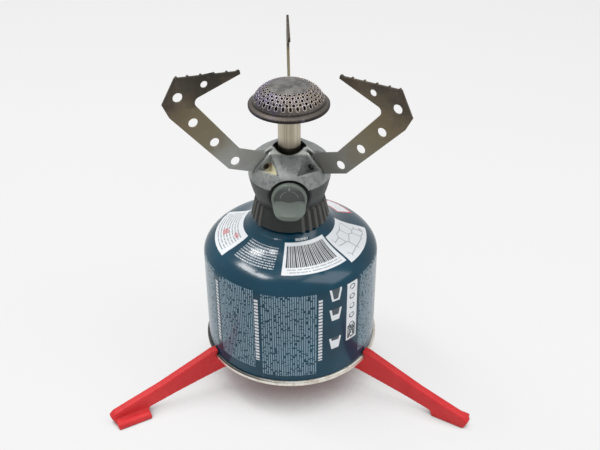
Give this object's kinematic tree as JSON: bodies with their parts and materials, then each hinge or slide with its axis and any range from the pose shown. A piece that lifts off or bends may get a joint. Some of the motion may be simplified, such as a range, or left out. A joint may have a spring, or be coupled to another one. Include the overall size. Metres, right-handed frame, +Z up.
{
  "type": "camping stove",
  "caption": "Compact camping stove on a gas cartridge, with folding pan supports, a perforated burner, a gas knob and a folding stabiliser with legs.",
  "frame": {"origin": "on the cartridge's axis at floor level, where the feet stand", "axes": "+Z up along the cartridge's axis, -Y towards the knob"},
  "size_m": [0.2256, 0.1969, 0.2191],
  "materials": {
    "blue_paint": "glossy blue paint",
    "tinplate": "bright tinplate",
    "white_plastic": "natural plastic",
    "rubber": "black rubber",
    "spring_steel": "plain steel",
    "dark_plastic": "dark grey moulded plastic",
    "die_cast": "grey die-cast metal",
    "brass": "machined brass",
    "stainless": "drawn stainless steel",
    "heat_steel": "heat-darkened steel",
    "tinted_steel": "heat-tinted stainless plate",
    "grey_plastic": "grey moulded plastic",
    "red_plastic": "red moulded plastic"
  },
  "bodies": {
    "cartridge": {"cartridge_shell": "blue_paint", "cartridge_base": "tinplate", "valve_cup": "tinplate", "valve_body": "white_plastic", "valve_gasket": "rubber", "valve_stem": "white_plastic", "valve_spring": "spring_steel"},
    "stove": {"lock_collar": "dark_plastic", "bowl_housing": "dark_plastic", "burner_hub": "die_cast", "arm_pins": "spring_steel", "hub_screws": "spring_steel", "valve_block": "brass", "inlet_probe": "brass", "inlet_seal": "rubber", "jet": "brass", "mixing_tube": "stainless", "burner_cap": "heat_steel", "burner_base": "heat_steel", "gland_nut": "brass", "spindle_seal": "rubber"},
    "gas_knob": {"knob": "grey_plastic", "spindle": "brass"},
    "pan_arm_left": {"arm_left": "tinted_steel"},
    "pan_arm_right": {"arm_right": "tinted_steel"},
    "pan_arm_rear": {"arm_rear": "tinted_steel"},
    "stabiliser": {"leg_rear": "red_plastic", "pivot_rivet": "spring_steel", "pivot_washer": "spring_steel"},
    "swing_leg_left": {"leg_left": "red_plastic"},
    "swing_leg_right": {"leg_right": "red_plastic"}
  },
  "joints": [
    {"name": "stove_twist", "type": "hinge", "parent": "cartridge", "child": "stove", "pos_m": [0, 0, 0.12], "axis": [0, 0, 1], "range_deg": [0, 60]},
    {"name": "knob_turn", "type": "hinge", "parent": "stove", "child": "gas_knob", "pos_m": [0, -0.026, 0.1414], "axis": [0, -1, 0], "range_deg": [0, 450]},
    {"name": "arm_left_fold", "type": "hinge", "parent": "stove", "child": "pan_arm_left", "pos_m": [-0.01483, -0.00789, 0.1552], "axis": [-0.4695, 0.8829, 0], "range_deg": [-3.7, 23.9]},
    {"name": "arm_right_fold", "type": "hinge", "parent": "stove", "child": "pan_arm_right", "pos_m": [0.01425, -0.0089, 0.1552], "axis": [-0.5299, -0.848, 0], "range_deg": [-0.2, 27.4]},
    {"name": "arm_rear_fold", "type": "hinge", "parent": "stove", "child": "pan_arm_rear", "pos_m": [0.00059, 0.01679, 0.1552], "axis": [0.9994, -0.0349, 0], "range_deg": [-0.3, 27.3]},
    {"name": "stabiliser_turn", "type": "hinge", "parent": "cartridge", "child": "stabiliser", "pos_m": [0, 0, 0.02], "axis": [0, 0, 1], "continuous": true},
    {"name": "leg_left_fold", "type": "hinge", "parent": "stabiliser", "child": "swing_leg_left", "pos_m": [0, 0, 0.02], "axis": [0, 0, -1], "range_deg": [0, 102]},
    {"name": "leg_right_fold", "type": "hinge", "parent": "stabiliser", "child": "swing_leg_right", "pos_m": [0, 0, 0.02], "axis": [0, 0, 1], "range_deg": [0, 102]}
  ]
}
